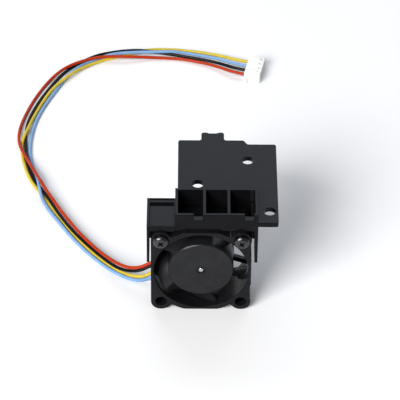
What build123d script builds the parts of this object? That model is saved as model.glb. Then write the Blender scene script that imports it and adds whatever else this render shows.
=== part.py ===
"""Cooling-fan module of a 3D printer's hotend, as an assembly of separate pieces.

A vertical 25 mm axial fan stands on its lower edge and faces the front. Two screws hold it to a
fan bracket, and a level mounting plate with a three-bay shroud lies on the bracket. A four-wire
lead runs from the fan's driver board to a small crimp housing.

Units are millimetres. +X is to the right as seen from the front, +Y to the back and +Z up. The
origin is on the surface that the module stands on, under the middle of the module without its lead.
"""
import os
from math import cos, pi, radians, sin, sqrt, tan

from build123d import *

# ---- clearances ----
PUSH = 0.02          # pieces pushed or bonded together, per side
RUN = 0.04           # shaft in its sleeve, on the radius
EASE = 0.10          # loose fits, such as a wire in its hole

# ---- fan frame; depths are measured from the fan's front face towards its back ----
FAN_SIZE = 25.0
FAN_DEPTH = 10.0
FAN_HOLE_R = 1.45
EAR_R = 2.5
RIM_WALL = 0.65      # frame between the bore and the middle of each side
RING_WALL = 1.3
LEFT_WEB = 1.6       # flat wall between the two left ears
RIGHT_WEB_INSET = 0.3
NOTCH_FILLET = 0.8
STRUT_WIDTH = 1.3
STRUT_FRONT = 8.5
STRUT_BACK = 9.7
STRUT_ANGLES = (340, 92)
BASE_R = 8.3
BASE_FRONT = 8.3
BASE_BACK = 9.5

# ---- rotor ----
HUB_R = 8.15
HUB_WALL = 0.8
HUB_FRONT = 0.6
HUB_BACK = 7.6
BLADE_COUNT = 5
BLADE_FIRST_ANGLE = 45.0
BLADE_SWEEP = 11.0   # turn of a blade's tip ahead of its root
BLADE_HALF_ANGLE = 23.0
BLADE_THICK = 0.75
BLADE_FRONT = 1.3
BLADE_BACK = 7.3
BLADE_CAMBER = 0.7
TIP_GAP = 0.45
YOKE_WALL = 0.5
YOKE_BACK = 6.9
MAGNET_WALL = 1.1
MAGNET_FRONT = 2.2
MAGNET_BACK = 6.1
SHAFT_R = 0.6
SHAFT_FRONT = 0.45
SHAFT_BACK = 8.95
BOSS_R = 1.5
RECESS_R = 1.2       # shallow recess round the shaft's front end
RECESS_DEPTH = 0.3

# ---- stator ----
TUBE_WALL = 0.6
SLEEVE_WALL = 0.85
SLEEVE_FRONT = 2.95
SLEEVE_BACK = 7.9
TUBE_FRONT = 2.5
AIR_GAP = 0.4
POLE_COUNT = 4
CORE_FRONT = 3.1
CORE_BACK = 5.1
CORE_RING_WALL = 0.9
POLE_ARM = 1.5
POLE_SHOE = 0.8
INSULATOR_THICK = 0.35
COIL_THICK = 0.45
BOARD_FRONT = 7.1
BOARD_THICK = 0.6
BOARD_R = 6.5

# ---- mounting plate with its shroud ----
PLATE_THICK = 1.3
PLATE_LEFT = 5.9     # reach to the left of the fan's axis
PLATE_RIGHT = 19.0   # reach to the right of the fan's axis
PLATE_DEPTH = 32.8
STEP_DEPTH = 31.2    # depth of the plate's lower right-hand back edge
STEP_START = 10.8
STEP_END = 11.75
PLATE_CORNER_R = 0.6
TAB_LEFT = 0.0
TAB_RIGHT = 5.8
TAB_REACH = 3.2
TAB_ROOT_R = 0.7
TAB_NOTCH = 0.35
SCREW_HOLE_R = 1.5
SCREW_HOLES = ((16.9, 4.6), (-0.9, 15.2), (11.7, 24.6))
SHROUD_LEFT = 6.5
SHROUD_RIGHT = 14.0
SHROUD_DEPTH = 10.5
SHROUD_RISE = 2.5
SHROUD_WALL = 0.7
SHROUD_FRONT_WALL = 0.8
BAY_EDGES = ((-5.8, 0.4), (1.1, 6.4), (7.1, 13.3))
LATCHES = ((-1.95, 0.35), (10.6, 12.9))
LATCH_DROP = 1.0
LATCH_REACH = 0.75
LATCH_THICK = 0.7

# ---- fan bracket ----
FAN_PROUD = 0.6      # the fan's front face stands this far in front of the plate
WEB_THICK = 1.5      # level web between the fan and the plate
LEFT_REACH = 1.0     # reach of the cheeks' outer faces past the fan's sides
RIGHT_REACH = 1.5
BRACKET_SETBACK = 0.25
BACK_WALL = 1.2
WING_RISE = 0.2      # the wing's rim stands this far above the plate's underside
WING_RIM = 0.6
WING_FRONT_RIM = 0.45
WING_BACK_RIM = 0.35
WING_OVERHANG = 0.35  # reach of the wing behind the shroud's back
POCKET_DEPTH = 0.8
CHEEK_WALL = 0.75
CHEEK_DROP = 10.2    # length of the side cheeks below the fan's top
CHEEK_TIP_WALL = 0.65
AIRWAY_EASE = 0.35   # the back wall's opening is this much larger than the fan's bore
SCREW_BOSS_R = 2.3
SCREW_BOSS_DEPTH = 2.6

# ---- fan screws, M2 pan head ----
SCREW_R = 1.0
SCREW_HEAD_R = 1.95
SCREW_HEAD_HEIGHT = 1.4
SCREW_GRIP = 2.0     # reach of a screw into its boss
CROSS_WIDTH = 0.45
CROSS_SPAN = 1.6
CROSS_DEPTH = 0.75

# ---- lead ----
WIRE_R = 0.43
WIRE_PITCH = 0.92
LEAD_ANGLE = 208.0   # direction in which the lead leaves the hub
LEAD_WALL = 0.6
LEAD_FLOOR = 8.8     # depth of the lead channel's floor
HOUSING_PITCH = 2.0
HOUSING_WIDTH = 8.6
HOUSING_LENGTH = 4.4
HOUSING_HEIGHT = 3.0
HOUSING_HEADING = -12.0
HOUSING_X = 10.3     # middle of the housing's wire face
HOUSING_Y = 81.35
WIRE_ENTRY = 1.5
WIRE_HEIGHT = 1.5
TERMINAL_WIDTH = 0.8
TERMINAL_HEIGHT = 1.2
TERMINAL_LENGTH = 2.6
TERMINAL_WALL = 0.2

# ---- places that follow from the sizes above ----
HOLE_PITCH = FAN_SIZE - 2 * EAR_R
BORE_R = FAN_SIZE / 2 - RIM_WALL
AIRWAY_R = BORE_R + AIRWAY_EASE
BRACKET_LEFT = FAN_SIZE / 2 + LEFT_REACH
BRACKET_RIGHT = FAN_SIZE / 2 + RIGHT_REACH
SCREW_LENGTH = FAN_DEPTH + SCREW_GRIP
PLATE_BOTTOM = FAN_SIZE + WEB_THICK
PLATE_TOP = PLATE_BOTTOM + PLATE_THICK
FAN_X = (BRACKET_LEFT - PLATE_RIGHT) / 2
FAN_Z = FAN_SIZE / 2
MODULE_DEPTH = SCREW_HEAD_HEIGHT + FAN_PROUD + PLATE_DEPTH + TAB_REACH
FAN_FRONT = SCREW_HEAD_HEIGHT - MODULE_DEPTH / 2
PLATE_FRONT = FAN_FRONT + FAN_PROUD
RING_OUTER_R = BORE_R + RING_WALL
TUBE_BORE_R = SHAFT_R + RUN + SLEEVE_WALL + PUSH
TUBE_R = TUBE_BORE_R + TUBE_WALL
YOKE_R = HUB_R - HUB_WALL - PUSH
MAGNET_R = YOKE_R - YOKE_WALL - PUSH
MAGNET_BORE_R = MAGNET_R - MAGNET_WALL
CORE_R = MAGNET_BORE_R - AIR_GAP
CHANNEL_HALF = 2 * WIRE_PITCH + EASE / 2

# The fan's own plane: its x to the right, its y up and its z out of the front face.
FAN_SEAT = Plane(origin=(FAN_X, FAN_FRONT, FAN_Z), x_dir=(1, 0, 0), z_dir=(0, -1, 0))

# Each wire's route, from its solder joint to the crimp housing, as points chosen by hand.
RED_ROUTE = [
    (-7.55, -9.4, 11.5), (-9.2, -9.4, 10.6), (-10.8, -8.3, 9.8), (-13.1, -8.25, 8.6),
    (-15.6, -8.25, 7.0), (-18.3, -8.3, 5.5), (-21.3, -7.1, 4.4), (-24.7, -3.95, 3.5),
    (-28.9, 1.4, 2.5), (-34.2, 9.0, 2.15), (-38.6, 16.7, 2.05), (-42.6, 24.4, 2.2),
    (-45.8, 31.1, 2.65), (-47.8, 36.1, 2.1), (-49.9, 41.6, 1.42), (-51.9, 46.8, 1.42),
    (-52.2, 52.8, 0.9), (-51.4, 58.7, 0.45), (-49.0, 67.4, 0.45), (-45.5, 75.6, 0.45),
    (-42.6, 79.4, 1.2), (-38.8, 83.1, 1.42), (-32.2, 86.3, 1.42), (-27.8, 86.8, 1.42),
    (-23.5, 86.7, 1.42), (-18.6, 87.3, 0.8), (-13.6, 87.5, 0.45), (-7.0, 86.9, 0.45),
    (1.3, 83.6, 0.8), (6.3, 79.6, 1.5), (11.14, 78.1, 1.5),
]
BLACK_ROUTE = [
    (-7.1, -9.4, 10.7), (-8.8, -9.4, 9.8), (-10.4, -8.3, 9.0), (-12.7, -8.25, 7.75),
    (-15.6, -8.25, 6.0), (-18.3, -8.3, 4.4), (-21.3, -7.0, 3.2), (-24.6, -4.45, 2.3),
    (-29.7, 2.3, 1.35), (-35.4, 9.8, 1.33), (-39.8, 17.4, 1.33), (-43.3, 24.9, 1.4),
    (-47.1, 32.7, 0.45), (-48.7, 37.7, 0.45), (-49.7, 42.9, 0.45), (-50.1, 48.0, 0.45),
    (-50.4, 53.2, 0.45), (-50.0, 58.4, 0.45), (-47.5, 66.9, 0.45), (-44.0, 74.8, 0.45),
    (-41.1, 80.2, 0.45), (-37.6, 84.3, 0.45), (-32.6, 88.3, 0.45), (-28.4, 89.2, 0.9),
    (-24.0, 89.5, 1.42), (-19.6, 89.8, 1.42), (-16.1, 90.3, 0.45), (-11.6, 89.2, 0.45),
    (-6.8, 88.1, 0.45), (1.6, 85.2, 0.8), (6.7, 81.5, 1.5), (11.56, 80.06, 1.5),
]
YELLOW_ROUTE = [
    (-6.7, -9.4, 9.9), (-8.4, -9.4, 9.0), (-9.95, -8.3, 8.15), (-12.1, -7.7, 6.7),
    (-13.6, -6.95, 4.5), (-15.5, -6.9, 2.2), (-18.4, -7.0, 1.1), (-21.8, -5.35, 0.6),
    (-25.5, -2.3, 0.45), (-30.2, 2.5, 0.45), (-35.2, 9.5, 0.45), (-39.5, 17.0, 0.45),
    (-43.6, 24.8, 0.45), (-46.0, 28.6, 0.45), (-48.1, 32.5, 0.45), (-49.7, 37.5, 0.45),
    (-50.8, 42.7, 0.45), (-51.2, 47.8, 0.5), (-50.7, 50.3, 1.42), (-49.6, 54.1, 1.42),
    (-48.8, 58.9, 0.6), (-46.5, 66.5, 0.45), (-44.3, 71.6, 0.8), (-42.0, 74.5, 1.42),
    (-39.0, 78.4, 1.42), (-36.1, 82.2, 0.7), (-31.3, 85.7, 0.45), (-27.6, 87.3, 0.45),
    (-23.7, 88.8, 0.45), (-19.6, 90.7, 0.45), (-15.1, 91.7, 0.45), (-6.2, 91.0, 0.45),
    (2.4, 88.4, 0.8), (7.5, 85.3, 1.5), (12.39, 83.97, 1.5),
]
BLUE_ROUTE = [
    (-6.25, -9.4, 9.1), (-7.9, -9.4, 8.2), (-9.5, -8.3, 7.35), (-11.2, -7.1, 6.0),
    (-12.9, -6.95, 3.6), (-14.9, -6.9, 1.2), (-18.2, -7.7, 0.45), (-21.8, -6.55, 0.45),
    (-25.7, -3.8, 0.45), (-30.9, 1.8, 0.45), (-36.1, 8.9, 0.45), (-40.5, 16.5, 0.45),
    (-43.2, 20.8, 0.8), (-44.7, 24.1, 1.42), (-45.6, 28.4, 1.85), (-46.2, 33.0, 1.35),
    (-47.6, 38.0, 0.5), (-48.8, 43.0, 0.45), (-49.0, 49.7, 0.45), (-48.0, 58.0, 0.45),
    (-45.4, 66.2, 0.45), (-42.1, 73.8, 0.45), (-40.3, 78.6, 0.45), (-36.9, 83.4, 0.45),
    (-31.9, 86.7, 0.5), (-28.5, 87.8, 1.25), (-24.7, 88.5, 1.42), (-19.5, 88.9, 1.42),
    (-15.2, 89.0, 1.42), (-10.8, 89.3, 1.42), (-6.4, 89.6, 0.5), (2.0, 87.0, 0.8),
    (7.1, 83.4, 1.5), (11.98, 82.02, 1.5),
]
WIRE_ROUTES = {
    "wire_red": RED_ROUTE,
    "wire_black": BLACK_ROUTE,
    "wire_yellow": YELLOW_ROUTE,
    "wire_blue": BLUE_ROUTE,
}


# ---- small helpers ----
def block(low, high):
    """A box between two corners."""
    size = [b - a for a, b in zip(low, high)]
    middle = [(a + b) / 2 for a, b in zip(low, high)]
    return Pos(*middle) * Box(*size)


def plate_block(left, right, front, back, bottom, top):
    """A box whose X is measured from the fan's axis and whose Y is measured from the plate's front."""
    return block((FAN_X + left, PLATE_FRONT + front, bottom), (FAN_X + right, PLATE_FRONT + back, top))


def disc(radius, front, back, x=0.0, y=0.0):
    """A cylinder along the fan's axis between two depths, in the fan's own plane."""
    return Pos(x, y, -(front + back) / 2) * Cylinder(radius, back - front)


def ring(outer, inner, front, back):
    """A tube along the fan's axis between two depths."""
    return disc(outer, front, back) - disc(inner, front - 1, back + 1)


def slab(sketch, front, back):
    """A flat outline in the fan's own plane, carried from one depth to another."""
    return Pos(0, 0, -back) * extrude(sketch, amount=back - front)


def polar(radius, angle, depth=0.0):
    """A point in the fan's own plane."""
    return (radius * cos(radians(angle)), radius * sin(radians(angle)), -depth)


def seat(shape):
    """Moves a shape from the fan's own plane to its place in the module."""
    return FAN_SEAT.location * shape


# ---- fan frame ----
def ear_centres():
    half = HOLE_PITCH / 2
    return [(x, y) for x in (-half, half) for y in (-half, half)]


def fan_outline():
    """The square frame's outline: a ring cut to the fan's size, four round ears and two side webs."""
    half = FAN_SIZE / 2
    outline = Circle(RING_OUTER_R) & Rectangle(FAN_SIZE, FAN_SIZE)
    for x, y in ear_centres():
        outline += Pos(x, y) * Circle(EAR_R)
    web_height = HOLE_PITCH
    outline += Pos(-half + LEFT_WEB / 2, 0) * Rectangle(LEFT_WEB, web_height)
    web_right = half - RIGHT_WEB_INSET
    outline += Pos(web_right - LEFT_WEB / 2, 0) * Rectangle(LEFT_WEB, web_height)
    notches = [v for v in outline.vertices() if abs(v.X) < abs(v.Y) < half - 0.5]
    return fillet(notches, NOTCH_FILLET)


def strut(angle, width, front, back):
    """A radial bar from the motor base into the ring."""
    inner = BASE_R - 1.0
    outer = BORE_R + RING_WALL / 4
    bar = Pos((inner + outer) / 2, 0, -(front + back) / 2) * Box(outer - inner, width, back - front)
    return Rot(0, 0, angle) * bar


def lead_channel_cut():
    """The open-backed channel that carries the four wires from the hub to the frame's left side."""
    reach = FAN_SIZE
    depth = FAN_DEPTH + 1 - LEAD_FLOOR
    channel = Pos(BASE_R - 0.3 + reach / 2, 0, -(LEAD_FLOOR + depth / 2)) * Box(reach, 2 * CHANNEL_HALF, depth)
    channel = Rot(0, 0, LEAD_ANGLE) * channel
    side = FAN_SIZE / 2
    keep_in = Pos(-side + 1, 0, -FAN_DEPTH) * Box(FAN_SIZE / 2, 15.6, 2 * FAN_DEPTH)
    outlet = Pos(-side, -5.9, -(LEAD_FLOOR + depth / 2)) * Box(4.2, 3.4, depth)
    window = Rot(0, 0, LEAD_ANGLE) * Pos(5.9, 0, -BASE_BACK) * Box(5.6, 2 * CHANNEL_HALF, 6)
    return channel & keep_in, outlet, window


def fan_frame():
    body = slab(fan_outline(), 0, FAN_DEPTH) - disc(BORE_R, -1, FAN_DEPTH + 1)
    for angle in STRUT_ANGLES:
        body += strut(angle, STRUT_WIDTH, STRUT_FRONT, STRUT_BACK)
    body += strut(LEAD_ANGLE, 2 * (CHANNEL_HALF + LEAD_WALL), LEAD_FLOOR - 0.9, STRUT_BACK)
    body += disc(BASE_R, BASE_FRONT, BASE_BACK)
    body += ring(BOARD_R - 0.6, BOARD_R - 1.6, BOARD_FRONT + BOARD_THICK, BASE_FRONT)
    body += disc(TUBE_R, TUBE_FRONT, BASE_FRONT)
    channel, outlet, window = lead_channel_cut()
    body -= channel
    body -= outlet
    body -= window
    body -= disc(TUBE_BORE_R, TUBE_FRONT - 1, SHAFT_BACK + 0.25)
    for x, y in ear_centres():
        body -= disc(FAN_HOLE_R, -1, FAN_DEPTH + 1, x, y)
    return seat(body)


# ---- bearing ----
def bearing_sleeve():
    outer = TUBE_BORE_R - PUSH
    return seat(ring(outer, SHAFT_R + RUN, SLEEVE_FRONT, SLEEVE_BACK))


def oil_seal():
    outer = TUBE_BORE_R - PUSH
    return seat(ring(outer, SHAFT_R + 2 * RUN, TUBE_FRONT + 0.1, SLEEVE_FRONT))


def thrust_pad():
    return seat(disc(TUBE_BORE_R - PUSH, SHAFT_BACK + 0.02, SHAFT_BACK + 0.25))


# ---- stator ----
def pole_outline(arm_width, shoe_wall, tip_r, hub_wall):
    """The outline of the stator: a ring round the bearing tube, and poles with curved shoes."""
    core_bore = TUBE_R + PUSH
    outline = Circle(core_bore + hub_wall)
    shoe = Circle(tip_r) - Circle(tip_r - shoe_wall)
    for i in range(POLE_COUNT):
        angle = 45 + i * 360 / POLE_COUNT
        arm_end = tip_r - shoe_wall / 2
        outline += Rot(0, 0, angle) * Pos(arm_end / 2, 0) * Rectangle(arm_end, arm_width)
        corner = tip_r * 1.5
        wedge = Polygon((0, 0), (corner, corner * tan(radians(36))), (corner, -corner * tan(radians(36))),
                        align=None)
        outline += shoe & (Rot(0, 0, angle) * wedge)
    return outline - Circle(core_bore)


def stator_core():
    return seat(slab(pole_outline(POLE_ARM, POLE_SHOE, CORE_R, CORE_RING_WALL), CORE_FRONT, CORE_BACK))


def stator_insulators():
    """A thin plastic cap on each face of the core."""
    outline = pole_outline(POLE_ARM, POLE_SHOE - 0.1, CORE_R - 0.1, CORE_RING_WALL - 0.1)
    front = slab(outline, CORE_FRONT - INSULATOR_THICK, CORE_FRONT)
    back = slab(outline, CORE_BACK, CORE_BACK + INSULATOR_THICK)
    return [seat(front), seat(back)]


def stator_coils():
    """One winding round each pole's arm."""
    inner = TUBE_R + PUSH + CORE_RING_WALL + 0.1
    half_width = POLE_ARM / 2 + COIL_THICK
    outer = sqrt((CORE_R - POLE_SHOE) ** 2 - half_width ** 2) - 0.05
    length = outer - inner
    front = CORE_FRONT - INSULATOR_THICK
    back = CORE_BACK + INSULATOR_THICK
    middle = (inner + outer) / 2
    depth = (front + back) / 2
    hole = Box(length + 1, POLE_ARM + 2 * PUSH, back - front + 2 * PUSH)
    wound = Box(length, POLE_ARM + 2 * COIL_THICK, back - front + 2 * COIL_THICK)
    wound = fillet(wound.edges().filter_by(Axis.X), COIL_THICK * 0.8)
    coil = wound - hole
    coils = []
    for i in range(POLE_COUNT):
        angle = 45 + i * 360 / POLE_COUNT
        coils.append(seat(Rot(0, 0, angle) * Pos(middle, 0, -depth) * coil))
    return coils


def driver_board():
    board = ring(BOARD_R, TUBE_R + EASE, BOARD_FRONT, BOARD_FRONT + BOARD_THICK)
    return seat(board)


def board_piece(radius, angle, length, width, height, turn=0.0):
    """A small component soldered to the board's front face."""
    part = Box(length, width, height)
    part = chamfer(part.faces().sort_by(Axis.Z)[-1].edges(), min(0.1, height / 4))
    place = Rot(0, 0, angle) * Pos(radius, 0, -(BOARD_FRONT - height / 2)) * Rot(0, 0, turn)
    return seat(place * part)


def solder_joints():
    """A small mound on the board's back face at the bare end of each wire."""
    joints = []
    for route in WIRE_ROUTES.values():
        start = Vector(*route[0])
        run = (Vector(*route[1]) - start).normalized()
        back_face = FAN_FRONT + BOARD_FRONT + BOARD_THICK
        centre = start - run * (WIRE_R + PUSH)
        mound = Pos(centre.X, back_face, centre.Z) * Rot(-90, 0, 0) * Cylinder(
            WIRE_R, 0.75, align=(Align.CENTER, Align.CENTER, Align.MIN))
        joints.append(fillet(mound.edges().sort_by(Axis.Y)[-1], 0.25))
    return joints


def rear_label():
    return seat(disc(3.6, BASE_BACK, BASE_BACK + 0.1))


# ---- rotor ----
def blade():
    """One swept blade between the hub and its tip, with its root centred on the +x direction."""
    inner = HUB_R * 0.8
    outer = BORE_R
    depth = BLADE_BACK - BLADE_FRONT
    sections = []
    for radius, turn in ((inner, 0), (outer, BLADE_SWEEP)):
        half = radius * tan(radians(BLADE_HALF_ANGLE))
        ahead = radius * tan(radians(turn))
        plane = Plane(origin=(radius, ahead, -BLADE_FRONT), x_dir=(0, 1, 0), z_dir=(1, 0, 0))
        # Across the section, x runs round the fan and y runs forwards.
        slope = Vector(2 * half, depth)
        normal = Vector(-slope.Y, slope.X).normalized()
        lead = Vector(half, 0)
        trail = Vector(-half, -depth)
        middle = (lead + trail) * 0.5 + normal * BLADE_CAMBER
        thick = normal * (BLADE_THICK / 2)
        edges = [
            ThreePointArc(lead + thick, middle + thick * 1.3, trail + thick),
            Line(trail + thick, trail - thick),
            ThreePointArc(trail - thick, middle - thick * 1.3, lead - thick),
            Line(lead - thick, lead + thick),
        ]
        sections.append(plane * make_face(edges))
    solid = loft(sections, ruled=True)
    keep = ring(BORE_R - TIP_GAP, HUB_R - HUB_WALL / 2, BLADE_FRONT - 0.5, BLADE_BACK + 0.5)
    return solid & keep


def impeller():
    hub = disc(HUB_R, HUB_FRONT, HUB_BACK)
    hub = chamfer(hub.edges().sort_by(Axis.Z)[-1], 0.25)
    hub -= disc(HUB_R - HUB_WALL, HUB_FRONT + HUB_WALL, HUB_BACK + 1)
    hub += disc(BOSS_R, HUB_FRONT + 0.1, TUBE_FRONT - 0.4)
    hub -= disc(RECESS_R, HUB_FRONT - 1, HUB_FRONT + RECESS_DEPTH)
    one = blade()
    for i in range(BLADE_COUNT):
        hub += Rot(0, 0, BLADE_FIRST_ANGLE + i * 360 / BLADE_COUNT) * one
    hub -= disc(SHAFT_R, SHAFT_FRONT - 1, TUBE_FRONT)
    return seat(hub)


def rotor_yoke():
    front = HUB_FRONT + HUB_WALL
    cup = disc(YOKE_R, front, YOKE_BACK) - disc(YOKE_R - YOKE_WALL, front + YOKE_WALL, YOKE_BACK + 1)
    return seat(cup - disc(BOSS_R + PUSH, front - 1, YOKE_BACK))


def rotor_magnet():
    return seat(ring(MAGNET_R, MAGNET_BORE_R, MAGNET_FRONT, MAGNET_BACK))


def rotor_shaft():
    shaft = disc(SHAFT_R, SHAFT_FRONT, SHAFT_BACK)
    ends = [shaft.edges().sort_by(Axis.Z)[-1], shaft.edges().sort_by(Axis.Z)[0]]
    shaft = fillet(ends, 0.2)
    return seat(shaft - ring(SHAFT_R + 1, SHAFT_R - 0.15, 8.25, 8.5))


def shaft_clip():
    """The split ring in the shaft's groove, which keeps the rotor in."""
    clip = ring(TUBE_BORE_R - 0.3, SHAFT_R - 0.15, 8.27, 8.48)
    return seat(clip - Pos(1, 0, -8.4) * Box(2, 0.5, 1))


# ---- mounting plate ----
def plate_outline():
    """The plate seen from above, x from the fan's axis and y from the plate's front edge."""
    tab_end = PLATE_DEPTH + TAB_REACH
    tab_middle = (TAB_LEFT + TAB_RIGHT) / 2
    points = [
        (-PLATE_LEFT, 0), (PLATE_RIGHT, 0), (PLATE_RIGHT, STEP_DEPTH), (STEP_END, STEP_DEPTH),
        (STEP_START, PLATE_DEPTH), (TAB_RIGHT, PLATE_DEPTH), (TAB_RIGHT, tab_end),
        (tab_middle + 1.6, tab_end), (tab_middle + 0.9, tab_end - TAB_NOTCH),
        (tab_middle - 0.9, tab_end - TAB_NOTCH), (tab_middle - 1.6, tab_end),
        (TAB_LEFT, tab_end), (TAB_LEFT, PLATE_DEPTH), (-PLATE_LEFT, PLATE_DEPTH),
    ]
    outline = Polygon(*points, align=None)
    corners = outline.vertices()

    def near(x, y):
        return [v for v in corners if abs(v.X - x) < 0.01 and abs(v.Y - y) < 0.01]

    outer = near(PLATE_RIGHT, 0) + near(PLATE_RIGHT, STEP_DEPTH) + near(-PLATE_LEFT, PLATE_DEPTH)
    outer += near(TAB_RIGHT, tab_end) + near(TAB_LEFT, tab_end)
    outer += near(STEP_END, STEP_DEPTH) + near(STEP_START, PLATE_DEPTH)
    outline = fillet(outer, PLATE_CORNER_R)
    corners = outline.vertices()
    roots = near(TAB_RIGHT, PLATE_DEPTH) + near(TAB_LEFT, PLATE_DEPTH)
    outline = fillet(roots, TAB_ROOT_R)
    corners = outline.vertices()
    wave = near(tab_middle + 1.6, tab_end) + near(tab_middle - 1.6, tab_end)
    wave += near(tab_middle + 0.9, tab_end - TAB_NOTCH) + near(tab_middle - 0.9, tab_end - TAB_NOTCH)
    return fillet(wave, 0.3)


def shroud():
    """Three open bays on the plate's front, with a latch ledge in front of the outer two."""
    rim = PLATE_TOP + SHROUD_RISE
    body = plate_block(-SHROUD_LEFT, SHROUD_RIGHT, 0, SHROUD_DEPTH, PLATE_BOTTOM, rim)
    top_edges = body.faces().sort_by(Axis.Z)[-1].edges()
    body = chamfer(top_edges, 0.1)
    for left, right in LATCHES:
        body -= plate_block(left, right, -1, SHROUD_FRONT_WALL + 0.1, rim - LATCH_DROP, rim + 1)
        ledge_top = rim - LATCH_DROP
        ledge = plate_block(left, right, -LATCH_REACH, 0.2, ledge_top - LATCH_THICK, ledge_top)
        low_front = ledge.edges().filter_by(Axis.X).group_by(Axis.Y)[0].sort_by(Axis.Z)[0]
        body += chamfer(low_front, min(LATCH_REACH, LATCH_THICK) * 0.6)
    return body


def bay_cuts(bottom, top):
    back = SHROUD_DEPTH - SHROUD_WALL
    return [plate_block(left, right, SHROUD_FRONT_WALL, back, bottom, top) for left, right in BAY_EDGES]


def mounting_plate():
    sheet = Pos(FAN_X, PLATE_FRONT, PLATE_BOTTOM) * extrude(plate_outline(), amount=PLATE_THICK)
    rim_edges = sheet.faces().sort_by(Axis.Z)[-1].edges() + sheet.faces().sort_by(Axis.Z)[0].edges()
    sheet = chamfer(rim_edges, 0.12)
    body = sheet + shroud()
    for cut in bay_cuts(PLATE_BOTTOM - 1, PLATE_TOP + SHROUD_RISE + 1):
        body -= cut
    for x, y in SCREW_HOLES:
        hole = Pos(FAN_X + x, PLATE_FRONT + y, PLATE_BOTTOM) * Cylinder(SCREW_HOLE_R, 4 * PLATE_THICK)
        body -= hole
    return body


# ---- fan bracket ----
def cheek(inner, outer, tip_inner):
    """A side cheek that narrows towards its lower end."""
    top = PLATE_BOTTOM
    low = FAN_SIZE - CHEEK_DROP
    front = PLATE_FRONT + BRACKET_SETBACK
    outline = Polygon((inner, top), (outer, top), (outer, low), (tip_inner, low), align=None)
    plane = Plane(origin=(FAN_X, front, 0), x_dir=(1, 0, 0), z_dir=(0, -1, 0))
    depth = SHROUD_DEPTH - BRACKET_SETBACK
    return extrude(plane * outline, amount=depth, dir=(0, 1, 0))


def fan_bracket():
    front = BRACKET_SETBACK
    back = SHROUD_DEPTH
    # Level web under the shroud, open below each bay.
    body = plate_block(-SHROUD_LEFT - PUSH, BRACKET_RIGHT, front, back, FAN_SIZE + PUSH, PLATE_BOTTOM)
    for cut in bay_cuts(FAN_SIZE - 1, PLATE_BOTTOM + 1):
        body -= cut
    # Pocketed wing to the left of the shroud.
    rim = PLATE_BOTTOM + WING_RISE
    wing_right = -SHROUD_LEFT - PUSH
    wing_back = back + WING_OVERHANG
    body += plate_block(-BRACKET_LEFT, wing_right, 0, wing_back, FAN_SIZE + PUSH, rim)
    body -= plate_block(-BRACKET_LEFT + WING_RIM, wing_right - 0.25, WING_FRONT_RIM, wing_back - WING_BACK_RIM,
                        rim - POCKET_DEPTH, rim + 1)
    # Side cheeks and the wall behind the fan.
    body += cheek(-BRACKET_LEFT + CHEEK_WALL, -BRACKET_LEFT, -BRACKET_LEFT + CHEEK_TIP_WALL)
    body += cheek(BRACKET_RIGHT - CHEEK_WALL - 0.2, BRACKET_RIGHT, BRACKET_RIGHT - CHEEK_TIP_WALL - 0.1)
    wall_front = FAN_DEPTH - FAN_PROUD + PUSH
    low = FAN_SIZE - CHEEK_DROP
    wall = plate_block(-BRACKET_LEFT, BRACKET_RIGHT, wall_front, wall_front + BACK_WALL, low, PLATE_BOTTOM)
    body += wall - seat(disc(AIRWAY_R, FAN_DEPTH - 1, FAN_DEPTH + BACK_WALL + 2))
    half = HOLE_PITCH / 2
    boss_front = FAN_DEPTH + PUSH
    for x in (-half, half):
        body += seat(disc(SCREW_BOSS_R, boss_front, boss_front + SCREW_BOSS_DEPTH, x, half))
        body -= seat(disc(SCREW_R + PUSH, boss_front - 1, boss_front + SCREW_BOSS_DEPTH - 0.4, x, half))
    return body


def fan_screw(x, y):
    head = disc(SCREW_HEAD_R, -SCREW_HEAD_HEIGHT, 0)
    head = fillet(head.edges().sort_by(Axis.Z)[-1], SCREW_HEAD_HEIGHT * 0.75)
    head = chamfer(head.edges().sort_by(Axis.Z)[0], 0.08)
    for turn in (35, 125):
        slot = Rot(0, 0, turn) * Box(CROSS_SPAN, CROSS_WIDTH, 2 * CROSS_DEPTH)
        head -= Pos(0, 0, SCREW_HEAD_HEIGHT) * slot
    shank = disc(SCREW_R, 0, SCREW_LENGTH - 0.2)
    shank = chamfer(shank.edges().sort_by(Axis.Z)[0], 0.3)
    return seat(Pos(x, y, 0) * (head + shank))


def fan_screws():
    half = HOLE_PITCH / 2
    return [fan_screw(-half, half), fan_screw(half, half)]


# ---- lead ----
def corner_radii(route):
    """The largest arcs that the runs on each side of a corner leave room for."""
    radii = []
    for before, corner, after in zip(route, route[1:], route[2:]):
        arriving = Vector(*corner) - Vector(*before)
        leaving = Vector(*after) - Vector(*corner)
        turn = radians(arriving.get_angle(leaving))
        radii.append(0.45 * min(arriving.length, leaving.length) / tan(turn / 2))
    return radii


def wire(name, route):
    radii = corner_radii(route)
    path = FilletPolyline(*route, radius=radii)
    start = Plane(origin=path @ 0, z_dir=path % 0)
    tube = sweep(start * Circle(WIRE_R), path=path)
    expected = pi * WIRE_R ** 2 * path.length
    print(name, "length", round(path.length, 1), "volume ratio", round(tube.volume / expected, 4))
    print("  bend radii", [round(r, 1) for r in radii])
    return tube


def housing_seat():
    """The wire face of the crimp housing: x along the housing, y across it and z up."""
    heading = radians(HOUSING_HEADING)
    return Plane(origin=(HOUSING_X, HOUSING_Y, 0), x_dir=(cos(heading), sin(heading), 0), z_dir=(0, 0, 1))


def housing_ways():
    return [(i - 1.5) * HOUSING_PITCH for i in range(4)]


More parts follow.
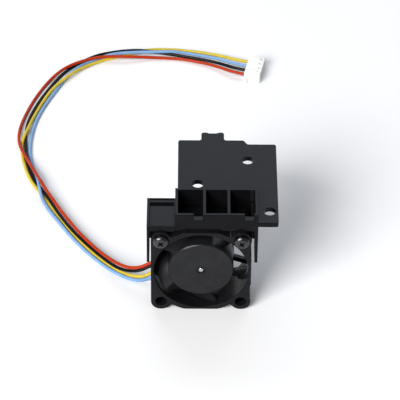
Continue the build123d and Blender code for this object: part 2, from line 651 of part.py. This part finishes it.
def connector_housing():
    body = block((0, -HOUSING_WIDTH / 2, 0), (HOUSING_LENGTH, HOUSING_WIDTH / 2, HOUSING_HEIGHT))
    body = chamfer(body.edges().filter_by(Axis.X), 0.25)
    # Flange at the wire face, with a small ear at each side.
    flange = block((0, -HOUSING_WIDTH / 2 - 0.5, 0), (0.9, HOUSING_WIDTH / 2 + 0.5, HOUSING_HEIGHT * 0.6))
    body += chamfer(flange.edges().filter_by(Axis.Z), 0.2)
    # Ribs on top that key the housing into its socket.
    for y in (-HOUSING_WIDTH / 2 + 1.2, HOUSING_WIDTH / 2 - 1.2):
        body += block((0.9, y - 0.25, HOUSING_HEIGHT - 0.2), (HOUSING_LENGTH, y + 0.25, HOUSING_HEIGHT + 0.25))
    cavity_low = WIRE_HEIGHT - TERMINAL_HEIGHT / 2 - 2 * PUSH
    cavity_high = WIRE_HEIGHT + TERMINAL_HEIGHT / 2 + 2 * PUSH
    half = TERMINAL_WIDTH / 2 + 2 * PUSH
    for y in housing_ways():
        body -= Pos(WIRE_ENTRY / 2, y, WIRE_HEIGHT) * Rot(0, 90, 0) * Cylinder(WIRE_R + EASE, WIRE_ENTRY + 1)
        body -= block((WIRE_ENTRY, y - half, cavity_low), (HOUSING_LENGTH + 1, y + half, cavity_high))
        # Window above each terminal's locking tongue.
        body -= block((3.3, y - 0.3, WIRE_HEIGHT), (4.1, y + 0.3, HOUSING_HEIGHT + 1))
    return housing_seat().location * body


def connector_terminals():
    """A crimped box terminal in each way."""
    terminals = []
    low = WIRE_HEIGHT - TERMINAL_HEIGHT / 2
    high = WIRE_HEIGHT + TERMINAL_HEIGHT / 2
    front = WIRE_ENTRY + PUSH
    for y in housing_ways():
        half = TERMINAL_WIDTH / 2
        box = block((front, y - half, low), (front + TERMINAL_LENGTH, y + half, high))
        bore = block((front + 0.6, y - half + TERMINAL_WALL, low + TERMINAL_WALL),
                     (front + TERMINAL_LENGTH + 1, y + half - TERMINAL_WALL, high - TERMINAL_WALL))
        terminals.append(housing_seat().location * (box - bore))
    return terminals


# ---- every node of the assembly ----
NODES = {
    "mounting_plate": mounting_plate,
    "fan_bracket": fan_bracket,
    "fan_screws": fan_screws,
    "fan_frame": fan_frame,
    "bearing_sleeve": bearing_sleeve,
    "oil_seal": oil_seal,
    "thrust_pad": thrust_pad,
    "stator_core": stator_core,
    "stator_insulators": stator_insulators,
    "stator_coils": stator_coils,
    "driver_board": driver_board,
    "hall_sensor": lambda: board_piece(5.6, 90, 0.9, 1.4, 0.5),
    "driver_chip": lambda: board_piece(4.3, 0, 1.6, 2.4, 0.7),
    "board_capacitor": lambda: board_piece(4.6, 270, 0.8, 1.6, 0.7),
    "solder_joints": solder_joints,
    "rear_label": rear_label,
    "impeller": impeller,
    "rotor_yoke": rotor_yoke,
    "rotor_magnet": rotor_magnet,
    "rotor_shaft": rotor_shaft,
    "shaft_clip": shaft_clip,
    "connector_housing": connector_housing,
    "connector_terminals": connector_terminals,
}


def main():
    os.makedirs("parts", exist_ok=True)
    for name, make in NODES.items():
        made = make()
        shape = Compound(children=list(made)) if isinstance(made, list) else made
        export_step(shape, f"parts/{name}.step")
    for name, route in WIRE_ROUTES.items():
        export_step(wire(name, route), f"parts/{name}.step")


if __name__ == "__main__":
    main()
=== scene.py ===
"""A hotend's cooling-fan module on a pale studio floor: cords, materials, lights and camera."""
from math import cos, radians, sin

import bpy
from mathutils import Matrix, Vector


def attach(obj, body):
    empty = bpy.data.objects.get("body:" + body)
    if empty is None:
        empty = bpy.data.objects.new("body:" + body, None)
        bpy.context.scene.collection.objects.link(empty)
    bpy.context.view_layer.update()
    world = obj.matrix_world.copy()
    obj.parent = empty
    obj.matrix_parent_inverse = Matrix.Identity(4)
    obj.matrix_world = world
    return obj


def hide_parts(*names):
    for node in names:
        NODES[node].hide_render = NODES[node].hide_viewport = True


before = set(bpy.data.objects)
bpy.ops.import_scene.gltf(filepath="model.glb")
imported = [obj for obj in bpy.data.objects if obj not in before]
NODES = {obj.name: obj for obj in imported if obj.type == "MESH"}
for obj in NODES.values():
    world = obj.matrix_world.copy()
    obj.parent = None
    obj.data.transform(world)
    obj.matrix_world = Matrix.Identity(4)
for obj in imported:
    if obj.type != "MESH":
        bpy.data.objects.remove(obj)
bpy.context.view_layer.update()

MM = 0.001

# ---- noise range that is spread over a colour ramp or a roughness ----
NOISE_LOW = 0.3
NOISE_HIGH = 0.7

# ---- stage; places and sizes in metres, powers in watts ----
FLOOR_SIZE = 6.0
LIGHTS_AIM = (0.0, 0.0, 0.02)
SOFTBOX_PLACE = (-0.52, -0.74, 0.68)
SOFTBOX_SIZE = (0.62, 0.62)
SOFTBOX_POWER = 17.4
BACK_PANEL_PLACE = (0.0, 0.48, 0.42)
BACK_PANEL_SIZE = (0.7, 0.32)
BACK_PANEL_POWER = 1.7
BACK_PANEL_COLOUR = (0.80, 0.88, 1.0)
SURROUND_COLOUR = (1.0, 0.985, 0.965, 1)
SURROUND_STRENGTH = 0.28

# ---- camera ----
CAMERA_TARGET = Vector((-3.10, -7.0, 26.85)) * MM
CAMERA_DISTANCE = 650 * MM
CAMERA_AZIMUTH = radians(0.374)
CAMERA_ELEVATION = radians(39.76)
CAMERA_ROLL = radians(0.549)
CAMERA_LENS = 235.3

# ---- lead ----
WIRE_DIAMETER = 0.86 * MM
WIRE_ORDER = 3
WIRE_FACETS = 6      # the bevel's resolution, which gives 16 sides round a wire
WIRE_STEPS = 8       # steps between two control points

# The control points of each wire, from its solder joint to the crimp housing, in millimetres.
RED_ROUTE = [
    (-7.55, -9.4, 11.5), (-9.2, -9.4, 10.6), (-10.8, -8.3, 9.8), (-13.1, -8.25, 8.6),
    (-15.6, -8.25, 7.0), (-18.3, -8.3, 5.5), (-21.3, -7.1, 4.4), (-24.7, -3.95, 3.5),
    (-28.9, 1.4, 2.5), (-34.2, 9.0, 2.15), (-38.6, 16.7, 2.05), (-42.6, 24.4, 2.2),
    (-45.8, 31.1, 2.65), (-47.8, 36.1, 2.1), (-49.9, 41.6, 1.42), (-51.9, 46.8, 1.42),
    (-52.2, 52.8, 0.9), (-51.4, 58.7, 0.45), (-49.0, 67.4, 0.45), (-45.5, 75.6, 0.45),
    (-42.6, 79.4, 1.2), (-38.8, 83.1, 1.42), (-32.2, 86.3, 1.42), (-27.8, 86.8, 1.42),
    (-23.5, 86.7, 1.42), (-18.6, 87.3, 0.8), (-13.6, 87.5, 0.45), (-7.0, 86.9, 0.45),
    (1.3, 83.6, 0.8), (6.3, 79.6, 1.5), (11.14, 78.1, 1.5),
]
BLACK_ROUTE = [
    (-7.1, -9.4, 10.7), (-8.8, -9.4, 9.8), (-10.4, -8.3, 9.0), (-12.7, -8.25, 7.75),
    (-15.6, -8.25, 6.0), (-18.3, -8.3, 4.4), (-21.3, -7.0, 3.2), (-24.6, -4.45, 2.3),
    (-29.7, 2.3, 1.35), (-35.4, 9.8, 1.33), (-39.8, 17.4, 1.33), (-43.3, 24.9, 1.4),
    (-47.1, 32.7, 0.45), (-48.7, 37.7, 0.45), (-49.7, 42.9, 0.45), (-50.1, 48.0, 0.45),
    (-50.4, 53.2, 0.45), (-50.0, 58.4, 0.45), (-47.5, 66.9, 0.45), (-44.0, 74.8, 0.45),
    (-41.1, 80.2, 0.45), (-37.6, 84.3, 0.45), (-32.6, 88.3, 0.45), (-28.4, 89.2, 0.9),
    (-24.0, 89.5, 1.42), (-19.6, 89.8, 1.42), (-16.1, 90.3, 0.45), (-11.6, 89.2, 0.45),
    (-6.8, 88.1, 0.45), (1.6, 85.2, 0.8), (6.7, 81.5, 1.5), (11.56, 80.06, 1.5),
]
YELLOW_ROUTE = [
    (-6.7, -9.4, 9.9), (-8.4, -9.4, 9.0), (-9.95, -8.3, 8.15), (-12.1, -7.7, 6.7),
    (-13.6, -6.95, 4.5), (-15.5, -6.9, 2.2), (-18.4, -7.0, 1.1), (-21.8, -5.35, 0.6),
    (-25.5, -2.3, 0.45), (-30.2, 2.5, 0.45), (-35.2, 9.5, 0.45), (-39.5, 17.0, 0.45),
    (-43.6, 24.8, 0.45), (-46.0, 28.6, 0.45), (-48.1, 32.5, 0.45), (-49.7, 37.5, 0.45),
    (-50.8, 42.7, 0.45), (-51.2, 47.8, 0.5), (-50.7, 50.3, 1.42), (-49.6, 54.1, 1.42),
    (-48.8, 58.9, 0.6), (-46.5, 66.5, 0.45), (-44.3, 71.6, 0.8), (-42.0, 74.5, 1.42),
    (-39.0, 78.4, 1.42), (-36.1, 82.2, 0.7), (-31.3, 85.7, 0.45), (-27.6, 87.3, 0.45),
    (-23.7, 88.8, 0.45), (-19.6, 90.7, 0.45), (-15.1, 91.7, 0.45), (-6.2, 91.0, 0.45),
    (2.4, 88.4, 0.8), (7.5, 85.3, 1.5), (12.39, 83.97, 1.5),
]
BLUE_ROUTE = [
    (-6.25, -9.4, 9.1), (-7.9, -9.4, 8.2), (-9.5, -8.3, 7.35), (-11.2, -7.1, 6.0),
    (-12.9, -6.95, 3.6), (-14.9, -6.9, 1.2), (-18.2, -7.7, 0.45), (-21.8, -6.55, 0.45),
    (-25.7, -3.8, 0.45), (-30.9, 1.8, 0.45), (-36.1, 8.9, 0.45), (-40.5, 16.5, 0.45),
    (-43.2, 20.8, 0.8), (-44.7, 24.1, 1.42), (-45.6, 28.4, 1.85), (-46.2, 33.0, 1.35),
    (-47.6, 38.0, 0.5), (-48.8, 43.0, 0.45), (-49.0, 49.7, 0.45), (-48.0, 58.0, 0.45),
    (-45.4, 66.2, 0.45), (-42.1, 73.8, 0.45), (-40.3, 78.6, 0.45), (-36.9, 83.4, 0.45),
    (-31.9, 86.7, 0.5), (-28.5, 87.8, 1.25), (-24.7, 88.5, 1.42), (-19.5, 88.9, 1.42),
    (-15.2, 89.0, 1.42), (-10.8, 89.3, 1.42), (-6.4, 89.6, 0.5), (2.0, 87.0, 0.8),
    (7.1, 83.4, 1.5), (11.98, 82.02, 1.5),
]
WIRES = {
    "red": (RED_ROUTE, 0.1711),
    "black": (BLACK_ROUTE, 0.172),
    "yellow": (YELLOW_ROUTE, 0.1714),
    "blue": (BLUE_ROUTE, 0.172),
}


# ---- camera ----
def make_camera():
    """Looks down at the module from the front, with a long lens and a slight roll."""
    view = Vector((
        sin(CAMERA_AZIMUTH) * cos(CAMERA_ELEVATION),
        cos(CAMERA_AZIMUTH) * cos(CAMERA_ELEVATION),
        -sin(CAMERA_ELEVATION),
    ))
    level_right = Vector((cos(CAMERA_AZIMUTH), -sin(CAMERA_AZIMUTH), 0))
    level_up = level_right.cross(view)
    right = level_right * cos(CAMERA_ROLL) + level_up * sin(CAMERA_ROLL)
    up = level_up * cos(CAMERA_ROLL) - level_right * sin(CAMERA_ROLL)
    camera = bpy.data.objects.new("camera", bpy.data.cameras.new("camera"))
    camera.data.lens = CAMERA_LENS
    camera.data.clip_start = 0.01
    turn = Matrix((right, up, -view)).transposed().to_4x4()
    camera.matrix_world = Matrix.Translation(CAMERA_TARGET - view * CAMERA_DISTANCE) @ turn
    bpy.context.collection.objects.link(camera)
    bpy.context.scene.camera = camera


# ---- cords ----
def make_wire(colour, route):
    """One insulated wire. Its radius is on the points, because a curve's box is taken from them."""
    curve = bpy.data.curves.new(f"lead_{colour}", "CURVE")
    curve.dimensions = "3D"
    curve.bevel_depth = 1.0
    curve.bevel_resolution = WIRE_FACETS
    curve.resolution_u = WIRE_STEPS
    curve.use_fill_caps = True
    spline = curve.splines.new("NURBS")
    spline.points.add(len(route) - 1)
    for point, place in zip(spline.points, route):
        point.co = (*(Vector(place) * MM), 1)
        point.radius = WIRE_DIAMETER / 2
    spline.order_u = WIRE_ORDER
    spline.use_endpoint_u = True
    piece = bpy.data.objects.new(f"lead_{colour}", curve)
    bpy.context.collection.objects.link(piece)
    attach(piece, "module")
    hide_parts(f"wire_{colour}")
    return piece


def make_lead():
    """The four wires of the lead, each run from its solder joint to the crimp housing."""
    pieces = {}
    for colour, (route, length) in WIRES.items():
        piece = make_wire(colour, route)
        pieces[colour] = piece
    return pieces


# ---- materials ----
class Shader:
    """A material's node tree, with short calls for the nodes that the finishes share."""

    def __init__(self, name):
        self.material = bpy.data.materials.new(name)
        self.material.use_nodes = True
        self.tree = self.material.node_tree
        self.surface = self.tree.nodes["Principled BSDF"]
        self.place = self.node("ShaderNodeTexCoord").outputs["Object"]

    def node(self, kind, **values):
        made = self.tree.nodes.new(kind)
        for key, value in values.items():
            setattr(made, key, value)
        return made

    def link(self, output, socket):
        self.tree.links.new(output, socket)

    def put(self, **sockets):
        for key, value in sockets.items():
            self.surface.inputs[key.replace("_", " ")].default_value = value

    def stretched(self, scale):
        """Coordinates stretched along an axis, for brushed and streaked finishes."""
        mapping = self.node("ShaderNodeMapping")
        mapping.inputs["Scale"].default_value = scale
        self.link(self.place, mapping.inputs["Vector"])
        return mapping.outputs["Vector"]

    def noise(self, size, detail=3.0, place=None):
        """Noise whose features are about size millimetres across."""
        made = self.node("ShaderNodeTexNoise")
        made.inputs["Scale"].default_value = 1 / (size * MM)
        made.inputs["Detail"].default_value = detail
        self.link(place or self.place, made.inputs["Vector"])
        return made.outputs["Fac"]

    def colour(self, dark, light, factor):
        """The base colour runs from dark to light with the factor."""
        ramp = self.node("ShaderNodeValToRGB")
        ramp.color_ramp.elements[0].position = NOISE_LOW
        ramp.color_ramp.elements[1].position = NOISE_HIGH
        ramp.color_ramp.elements[0].color = (*dark, 1)
        ramp.color_ramp.elements[1].color = (*light, 1)
        self.link(factor, ramp.inputs["Fac"])
        self.link(ramp.outputs["Color"], self.surface.inputs["Base Color"])

    def roughness(self, low, high, factor):
        span = self.node("ShaderNodeMapRange")
        span.inputs["From Min"].default_value = NOISE_LOW
        span.inputs["From Max"].default_value = NOISE_HIGH
        span.inputs["To Min"].default_value = low
        span.inputs["To Max"].default_value = high
        self.link(factor, span.inputs["Value"])
        self.link(span.outputs["Result"], self.surface.inputs["Roughness"])

    def bump(self, height, depth, edge=0.0):
        """A relief of depth millimetres over edges that are rounded by edge millimetres."""
        made = self.node("ShaderNodeBump")
        made.inputs["Distance"].default_value = depth * MM
        made.inputs["Strength"].default_value = 1.0
        self.link(height, made.inputs["Height"])
        if edge:
            rounded = self.node("ShaderNodeBevel", samples=4)
            rounded.inputs["Radius"].default_value = edge * MM
            self.link(rounded.outputs["Normal"], made.inputs["Normal"])
        self.link(made.outputs["Normal"], self.surface.inputs["Normal"])


def shade(grey, spread, tint=(1.0, 1.0, 1.0)):
    """A dark and a light version of one colour."""
    dark = tuple(grey * (1 - spread) * t for t in tint)
    light = tuple(grey * (1 + spread) * t for t in tint)
    return dark, light


def moulded(name, colours, rough, grain, depth, edge=0.12, specular=0.5):
    """Moulded plastic: faint flow marks, a fine grain and slightly rounded edges."""
    shader = Shader(name)
    flow = shader.noise(4.0, 4.0)
    shader.colour(*colours, flow)
    shader.roughness(*rough, shader.noise(1.1, 5.0))
    shader.bump(shader.noise(grain, 2.0), depth, edge=edge)
    shader.put(IOR=1.5, Specular_IOR_Level=specular)
    return shader.material


def metal(name, colours, rough, streak=(1, 1, 1), grain=0.12, depth=0.004):
    """Plain metal with a drawn, ground or cast surface."""
    shader = Shader(name)
    place = shader.stretched(streak)
    shader.colour(*colours, shader.noise(0.8, 4.0, place))
    shader.roughness(*rough, shader.noise(grain, 4.0, place))
    shader.bump(shader.noise(grain, 2.0, place), depth, edge=0.05)
    shader.put(Metallic=1.0)
    return shader.material


def layered_steel(name):
    """A stack of thin stamped sheets."""
    shader = Shader(name)
    bands = shader.node(
        "ShaderNodeTexWave", wave_type="BANDS", bands_direction="Y", wave_profile="SIN",
    )
    bands.inputs["Scale"].default_value = 0.35 / MM
    bands.inputs["Distortion"].default_value = 0.2
    shader.link(shader.place, bands.inputs["Vector"])
    shader.colour((0.22, 0.23, 0.24), (0.42, 0.43, 0.45), bands.outputs["Fac"])
    shader.roughness(0.3, 0.5, shader.noise(0.3))
    shader.bump(bands.outputs["Fac"], 0.02)
    shader.put(Metallic=1.0)
    return shader.material


def winding(name):
    """Enamelled copper wire wound side by side."""
    shader = Shader(name)
    turns = shader.node(
        "ShaderNodeTexWave", wave_type="BANDS", bands_direction="DIAGONAL", wave_profile="SIN",
    )
    turns.inputs["Scale"].default_value = 1.4 / MM
    turns.inputs["Distortion"].default_value = 0.4
    shader.link(shader.place, turns.inputs["Vector"])
    shader.colour((0.36, 0.1, 0.03), (0.8, 0.34, 0.14), turns.outputs["Fac"])
    shader.roughness(0.2, 0.34, shader.noise(0.3))
    shader.bump(turns.outputs["Fac"], 0.05)
    shader.put(Metallic=0.85, Coat_Weight=0.6, Coat_Roughness=0.1)
    return shader.material


def circuit_board(name):
    """Solder mask with lighter traces beneath it."""
    shader = Shader(name)
    traces = shader.node("ShaderNodeTexVoronoi", feature="DISTANCE_TO_EDGE", distance="MANHATTAN")
    traces.inputs["Scale"].default_value = 0.7 / MM
    shader.link(shader.place, traces.inputs["Vector"])
    shader.colour((0.02, 0.12, 0.04), (0.04, 0.22, 0.08), traces.outputs["Distance"])
    shader.roughness(0.25, 0.4, shader.noise(0.5))
    shader.bump(traces.outputs["Distance"], 0.03)
    shader.put(Coat_Weight=0.4, Coat_Roughness=0.15)
    return shader.material


def insulation(name, colour):
    """Extruded wire insulation: smooth, with faint marks along it and slight handling dirt."""
    shader = Shader(name)
    dark = tuple(c * 0.82 for c in colour)
    shader.colour(dark, colour, shader.noise(2.5, 5.0))
    shader.roughness(0.26, 0.42, shader.noise(0.7, 4.0))
    shader.bump(shader.noise(0.35, 3.0), 0.012)
    shader.put(IOR=1.5, Specular_IOR_Level=0.16)
    return shader.material


WIRE_COLOURS = {
    "red": (0.44, 0.032, 0.004),
    "black": (0.004, 0.004, 0.005),
    "yellow": (0.66, 0.50, 0.045),
    "blue": (0.22, 0.39, 0.66),
}
BLUE_BLACK = (0.95, 0.98, 1.12)


def node_materials():
    """Each CAD node's finish."""
    chip = moulded("chip", shade(0.02, 0.2), rough=(0.35, 0.5), grain=0.08, depth=0.006, edge=0.04)
    tin = metal("tin", ((0.55, 0.56, 0.57), (0.72, 0.72, 0.7)), rough=(0.16, 0.3))
    nylon = moulded(
        "natural_nylon", ((0.7, 0.69, 0.63), (0.8, 0.79, 0.74)),
        rough=(0.3, 0.42), grain=0.1, depth=0.003, edge=0.04,
    )
    gloss = shade(0.005, 0.15, BLUE_BLACK)
    plate = moulded(
        "gloss_plate", gloss,
        rough=(0.10, 0.15), grain=0.5, depth=0.0012, edge=0.14, specular=0.09,
    )
    bracket = moulded(
        "gloss_bracket", gloss,
        rough=(0.14, 0.2), grain=0.4, depth=0.002, edge=0.14, specular=0.09,
    )
    frame_black = moulded(
        "fan_black", shade(0.007, 0.2, BLUE_BLACK),
        rough=(0.2, 0.3), grain=0.14, depth=0.005, edge=0.14, specular=0.13,
    )
    impeller_black = moulded(
        "impeller_black", shade(0.012, 0.25, BLUE_BLACK),
        rough=(0.24, 0.34), grain=0.16, depth=0.008, edge=0.14, specular=0.2,
    )
    seal = moulded(
        "seal_rubber", shade(0.022, 0.2),
        rough=(0.6, 0.75), grain=0.1, depth=0.006, edge=0.03,
    )
    ceramic = moulded(
        "ceramic", ((0.36, 0.22, 0.11), (0.5, 0.33, 0.18)),
        rough=(0.4, 0.5), grain=0.1, depth=0.003, edge=0.04,
    )
    film = moulded(
        "plain_film", ((0.66, 0.66, 0.64), (0.76, 0.76, 0.74)),
        rough=(0.4, 0.5), grain=0.3, depth=0.003, edge=0.02,
    )
    ferrite = moulded(
        "ferrite", shade(0.05, 0.25),
        rough=(0.5, 0.65), grain=0.09, depth=0.008, edge=0.05,
    )
    white_nylon = moulded(
        "white_nylon", ((0.78, 0.77, 0.73), (0.87, 0.86, 0.83)),
        rough=(0.28, 0.4), grain=0.15, depth=0.003, edge=0.1,
    )
    black_oxide = metal(
        "black_oxide", ((0.045, 0.045, 0.05), (0.09, 0.09, 0.095)),
        rough=(0.2, 0.3),
    )
    bronze = metal(
        "sintered_bronze", ((0.34, 0.2, 0.09), (0.5, 0.33, 0.17)),
        rough=(0.45, 0.6),
    )
    drawn_steel = metal(
        "drawn_steel", ((0.36, 0.37, 0.38), (0.5, 0.51, 0.52)),
        rough=(0.25, 0.38), streak=(1, 0.1, 1),
    )
    ground_steel = metal(
        "ground_steel", ((0.42, 0.43, 0.44), (0.56, 0.57, 0.58)),
        rough=(0.22, 0.34), streak=(1, 12, 1),
    )
    return {
        "mounting_plate": plate,
        "fan_bracket": bracket,
        "fan_screws": black_oxide,
        "fan_frame": frame_black,
        "bearing_sleeve": bronze,
        "oil_seal": seal,
        "thrust_pad": nylon,
        "stator_core": layered_steel("laminations"),
        "stator_insulators": nylon,
        "stator_coils": winding("windings"),
        "driver_board": circuit_board("solder_mask"),
        "hall_sensor": chip,
        "driver_chip": chip,
        "board_capacitor": ceramic,
        "solder_joints": tin,
        "rear_label": film,
        "impeller": impeller_black,
        "rotor_yoke": drawn_steel,
        "rotor_magnet": ferrite,
        "rotor_shaft": ground_steel,
        "shaft_clip": nylon,
        "connector_housing": white_nylon,
        "connector_terminals": tin,
    }


def paint(piece, material):
    piece.data.materials.clear()
    piece.data.materials.append(material)


# ---- stage ----
def make_floor():
    bpy.ops.mesh.primitive_plane_add(size=FLOOR_SIZE)
    floor = bpy.context.object
    floor.name = "floor"
    shader = Shader("pale_floor")
    shader.colour((0.86, 0.86, 0.865), (0.875, 0.875, 0.88), shader.noise(60.0))
    shader.put(Roughness=0.7, Specular_IOR_Level=0.2)
    paint(floor, shader.material)


def area_light(name, place, size, power, colour=(1, 1, 1)):
    light = bpy.data.lights.new(name, "AREA")
    light.shape = "RECTANGLE"
    light.size, light.size_y = size
    light.energy = power
    light.color = colour
    lamp = bpy.data.objects.new(name, light)
    lamp.location = place
    lamp.rotation_euler = (Vector(LIGHTS_AIM) - Vector(place)).to_track_quat("-Z", "Y").to_euler()
    bpy.context.collection.objects.link(lamp)


def make_lights():
    """A large softbox in front and to the left, a panel behind for the gloss, and a surround."""
    area_light("softbox", SOFTBOX_PLACE, SOFTBOX_SIZE, SOFTBOX_POWER)
    area_light("back_panel", BACK_PANEL_PLACE, BACK_PANEL_SIZE, BACK_PANEL_POWER, BACK_PANEL_COLOUR)
    world = bpy.data.worlds.new("surround")
    world.use_nodes = True
    background = world.node_tree.nodes["Background"]
    background.inputs["Color"].default_value = SURROUND_COLOUR
    background.inputs["Strength"].default_value = SURROUND_STRENGTH
    bpy.context.scene.world = world
    bpy.context.scene.view_settings.view_transform = "Standard"


make_camera()
lead = make_lead()
for colour, piece in lead.items():
    paint(piece, insulation(f"insulation_{colour}", WIRE_COLOURS[colour]))
for node, material in node_materials().items():
    paint(NODES[node], material)
make_floor()
make_lights()
